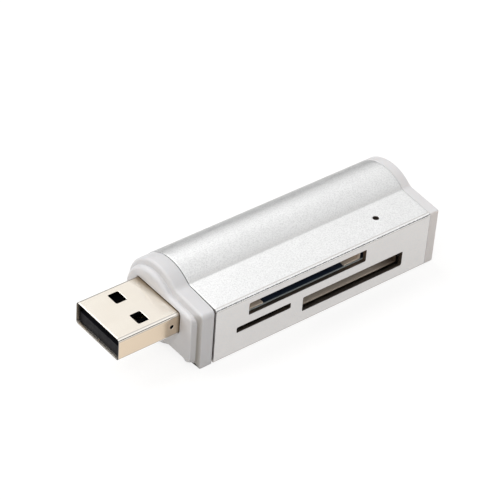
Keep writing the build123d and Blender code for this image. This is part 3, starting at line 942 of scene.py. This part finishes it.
# Tones laid over the sleeve: painted shade with a warm painted reflection on its slot side, the grain's
# peaks, a painted highlight on the shoulder edge, and painted shade inside, along the underside edge and
# beside the shoulder edge
slot_side_shade_tone = (0.69, 0.667, 0.65)
speckle_tone = (0.65, 0.65, 0.65)
edge_highlight_tone = (0.93, 0.93, 0.925)
bright_edge_roughness = 0.18
sleeve_shade_tone = (0.25, 0.205, 0.17)
tint(aluminium, facing_mask(aluminium, -inwards), slot_side_shade_tone)
tint(aluminium, speckle_mask(aluminium), speckle_tone)
# Painted highlight on the shoulder bend
tint(aluminium, marked(aluminium, edge_name), edge_highlight_tone)
smooth_over(aluminium, marked(aluminium, edge_name), bright_edge_roughness)
tint(aluminium, marked(aluminium, shade_mark_name), sleeve_shade_tone)

# Tones laid over the collar's step as a painted shadow, over the cap's slot side as painted light, over the
# card covers' far end as painted shade, and over the board's front edge
step_shade_tone = (0.3, 0.275, 0.24)
cap_side_light_tone = (0.86, 0.82, 0.8)
# Painted shade on the stamped sheets towards the far end of the slots
far_end_shade_start = 36.5
far_end_shade_end = 41.5
far_end_shade_tone = (0.16, 0.11, 0.075)
board_edge_tone = (0.5, 0.55, 0.55)
board_edge_end = board_front + board_edge
board_edge_mask = level_mask(solder_mask, inwards, board_edge_end + board_edge_fade, board_edge_end)
tint(milky_moulding, marked(milky_moulding, shade_mark_name), step_shade_tone)
# Painted light on the cap's slot side
tint(cap_moulding_lit_copy, facing_mask(cap_moulding_lit_copy, -inwards), cap_side_light_tone)
tint(stamped_sheet, level_mask(stamped_sheet, lengthwise, far_end_shade_start, far_end_shade_end), far_end_shade_tone)
tint(solder_mask, board_edge_mask, board_edge_tone)

# Tones laid over the plug: painted shade with a warm painted reflection on its sides, a painted highlight on
# its bends, a painted shadow at its root and painted shade inside
plug_side_shade_tone = (0.745, 0.615, 0.47)
plug_edge_highlight_tone = (0.97, 0.93, 0.87)
plug_edge_roughness = 0.1
roof_shade_reach = 1.8
roof_shade_skew = 0.2
side_shade_reach = 0.7
root_shade_tone = (0.3, 0.235, 0.165)
plug_inside_shade_tone = (0.12, 0.12, 0.12)
roof_way = lengthwise + roof_shade_skew * inwards
roof_level = boss_front + roof_shade_skew * plug_near
tint(nickel, facing_mask(nickel, inwards, both_ways=True), plug_side_shade_tone)
# Painted highlight on the plug's bends
tint(nickel, marked(nickel, edge_name), plug_edge_highlight_tone)
smooth_over(nickel, marked(nickel, edge_name), plug_edge_roughness)
# Painted shadow on the plug's roof and sides next to the collar
tint(nickel, level_mask(nickel, roof_way, roof_level, roof_level + roof_shade_reach), root_shade_tone)
tint(nickel, level_mask(nickel, lengthwise, boss_front - side_shade_reach, boss_front), root_shade_tone)
tint(nickel, marked(nickel, shade_mark_name), plug_inside_shade_tone)

# Pieces
sharp_angle = 40.0
node_bevel = 0.05
node_bevel_steps = 2
weld_distance = 0.001


def add_object(name, data):
    """New object in the scene."""
    made = bpy.data.objects.new(name, data)
    scene.collection.objects.link(made)
    return made


def mesh_object(name, points, faces, finish):
    """Mesh object made of points and faces in the shared frame, in one finish."""
    mesh = bpy.data.meshes.new(name)
    mesh.from_pydata(points.tolist(), [], faces)
    mesh.update()
    mesh.materials.append(finish)
    return add_object(name, mesh)


def make_piece(name, surface, finish, node):
    """Mesh object for a surface of the reader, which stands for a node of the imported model."""
    points, faces, marks = surface
    piece = mesh_object(name, reader_origin + points @ reader_axes * mm, faces, finish)
    piece.data.shade_smooth()
    piece.data.set_sharp_from_angle(angle=math.radians(sharp_angle))
    for title, values in marks.items():
        mark = piece.data.attributes.new(title, "FLOAT", "POINT")
        mark.data.foreach_set("value", values.astype(np.float32))
    shading = piece.modifiers.new("flat_faces_stay_flat", "WEIGHTED_NORMAL")
    shading.keep_sharp = True
    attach(piece, "root")
    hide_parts(node)


def dress(node, finish):
    """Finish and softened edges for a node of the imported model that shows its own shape."""
    for place in node.material_slots:
        place.material = finish
    join = node.modifiers.new("joined_triangles", "WELD")
    join.merge_threshold = weld_distance * mm
    edges = node.modifiers.new("softened_edges", "BEVEL")
    edges.width = node_bevel * mm
    edges.segments = node_bevel_steps
    edges.limit_method = "ANGLE"


make_piece("sleeve_skin", sleeve_surface(), aluminium, "sleeve")
make_piece("front_collar_skin", collar_surface(), milky_moulding, "front_collar")
make_piece("rear_cap_skin", cap_surface(), cap_moulding_lit_copy, "rear_cap")
make_piece("plug_shell_skin", plug_surface(), nickel, "plug_shell")

node_finishes = (
    (black_moulding, "plug_insulator", "large_card_holder", "stick_card_holder", "micro_card_base"),
    (gold_plate, "plug_contacts", "large_card_contacts", "stick_card_contacts", "micro_card_contacts"),
    (solder_mask, "circuit_board"),
    (stamped_sheet, "large_card_rails", "stick_card_cover", "micro_card_cover"),
    (matt_moulding, "controller_chip", "voltage_regulator", "resistors"),
    (tin_plate, "controller_leads", "clock_crystal", "regulator_leads"),
    (fired_ceramic, "capacitors"),
    (clear_lens, "indicator_lamp"),
)
for finish, *names in node_finishes:
    for name in names:
        dress(frame["nodes"][name], finish)

# Studio: a pale floor, a white surround, a low ring of dark cards and soft panels, in metres
floor_half = 3.0
floor_steps_across = 9
floor_tone = (0.5, 0.48, 0.46, 1.0)
seen_floor_tone = (0.27, 0.265, 0.26, 1.0)
floor_lift = 0.79
card_distance = 1.6
card_height = 0.7
card_steps = 48
card_glow = 0.1
surround_tone = (1.0, 1.0, 1.0, 1.0)
surround_light = 0.53
panel_distance = 1.0
panel_size = 0.6
panels = {
    "rear_panel": {"azimuth": 135.0, "elevation": 40.0, "power": 2.66},
    "top_panel": {"azimuth": 90.0, "elevation": 65.0, "power": 2.65},
    "front_panel": {"azimuth": 225.0, "elevation": 40.0, "power": 2.44},
}


def show_or_light(tree, light, shown, leave):
    """One shader for the light that is given, and another for what the camera sees.

    The camera's own rays, reflections and what shows through a clear piece count as seen.
    """
    path = add_node(tree, "LightPath")
    seen = path.outputs["Is Camera Ray"]
    for title in ("Is Glossy Ray", "Is Transmission Ray"):
        either = {0: seen, 1: path.outputs[title]}
        seen = add_node(tree, "Math", either, operation="MAXIMUM").outputs["Value"]
    choose = add_node(tree, "MixShader", {"Fac": seen, 1: light, 2: shown})
    feed(leave, {"Surface": choose.outputs["Shader"]})


def bare_material(name):
    """New material with no shader yet, its node tree and its output node."""
    material = bpy.data.materials.new(name)
    material.use_nodes = True
    tree = material.node_tree
    tree.nodes.remove(tree.nodes["Principled BSDF"])
    return material, tree, tree.nodes["Material Output"]


def make_floor_finish():
    """Pale floor that keeps shadows, with an even lift that makes it white where it is open to the light."""
    material, tree, leave = bare_material("pale_floor")
    sheet = add_node(tree, "BsdfDiffuse", {"Color": floor_tone})
    seen_sheet = add_node(tree, "BsdfDiffuse", {"Color": seen_floor_tone})
    lift = add_node(tree, "Emission", {"Strength": floor_lift})
    white = add_node(tree, "AddShader", {0: seen_sheet.outputs["BSDF"], 1: lift.outputs["Emission"]})
    show_or_light(tree, sheet.outputs["BSDF"], white.outputs["Shader"], leave)
    return material


def make_floor():
    """Flat square grid under the reader, level with the surface that it lies on."""
    side = np.linspace(-floor_half, floor_half, floor_steps_across)
    grid = np.stack(np.meshgrid(side, side, [0.0], indexing="ij"), -1)
    number = numbered((floor_steps_across, floor_steps_across))
    floor = mesh_object("floor", grid.reshape(-1, 3), quads(number).tolist(), make_floor_finish())


def make_dark_cards():
    """Low ring of dark cards round the studio: a circle carried upwards. Only reflections show it."""
    angle = np.linspace(0, 4 * quarter, card_steps, endpoint=False)
    circle = card_distance * np.stack((np.cos(angle), np.sin(angle), np.zeros_like(angle)), -1)
    points = np.concatenate((circle, circle + card_height * z_axis))
    faces = quads(closed(numbered((2, card_steps)), 1)).tolist()
    material, tree, leave = bare_material("dark_card")
    feed(leave, {"Surface": add_node(tree, "Emission", {"Strength": card_glow}).outputs["Emission"]})
    cards = mesh_object("dark_cards", points, faces, material)
    for ray in ("camera", "diffuse", "transmission", "shadow"):
        setattr(cards, "visible_" + ray, False)


def make_surround():
    """White surround for the camera and reflections, at a plain level for the light that it gives."""
    world = bpy.data.worlds.new("studio_surround")
    world.use_nodes = True
    tree = world.node_tree
    light = tree.nodes["Background"]
    feed(light, {"Color": surround_tone, "Strength": surround_light})
    white = add_node(tree, "Background", {"Color": surround_tone, "Strength": 1.0})
    leave = tree.nodes["World Output"]
    show_or_light(tree, light.outputs["Background"], white.outputs["Background"], leave)
    scene.world = world


def direction(azimuth, elevation):
    """Unit vector at an azimuth from the x axis towards y and an elevation above the floor, in degrees."""
    turn = math.radians(azimuth)
    rise = math.radians(elevation)
    return np.array((math.cos(rise) * math.cos(turn), math.cos(rise) * math.sin(turn), math.sin(rise)))


def aimed(place, forward, roll):
    """Matrix of an object at place that looks forward, turned about its view by roll."""
    level = np.cross(forward, z_axis)
    level /= np.linalg.norm(level)
    lift = np.cross(level, forward)
    right = math.cos(roll) * level + math.sin(roll) * lift
    up = math.cos(roll) * lift - math.sin(roll) * level
    matrix = np.eye(4)
    matrix[:3] = np.stack((right, up, -forward, place), 1)
    return Matrix(matrix.tolist())


def make_panel(name, azimuth, elevation, power):
    """Square soft panel that looks at the reader from a direction."""
    light = bpy.data.lights.new(name, "AREA")
    light.shape = "SQUARE"
    light.size = panel_size
    light.energy = power
    panel = add_object(name, light)
    away = direction(azimuth, elevation)
    panel.matrix_world = aimed(away * panel_distance, -away, 0.0)


make_floor()
make_surround()
make_dark_cards()
for name, values in panels.items():
    make_panel(name, **values)

# Camera at the photograph's viewing angle, in metres, degrees and, for the lens, millimetres
camera_aim = np.array((0.000248, 0.001707, 0.010552))
camera_distance = 0.38642
camera_azimuth = -126.843
camera_elevation = 30.686
camera_roll = -2.938
camera_lens = 163.09
camera_sensor = 36.0
camera_near = 0.01
camera_far = 20.0
camera_data = bpy.data.cameras.new("camera")
camera_data.sensor_width = camera_sensor
camera_data.lens = camera_lens
camera_data.clip_start = camera_near
camera_data.clip_end = camera_far
camera = add_object("camera", camera_data)
camera_side = direction(camera_azimuth, camera_elevation)
camera_place = camera_aim + camera_distance * camera_side
camera.matrix_world = aimed(camera_place, -camera_side, math.radians(camera_roll))
scene.camera = camera
scene.view_settings.view_transform = "Standard"
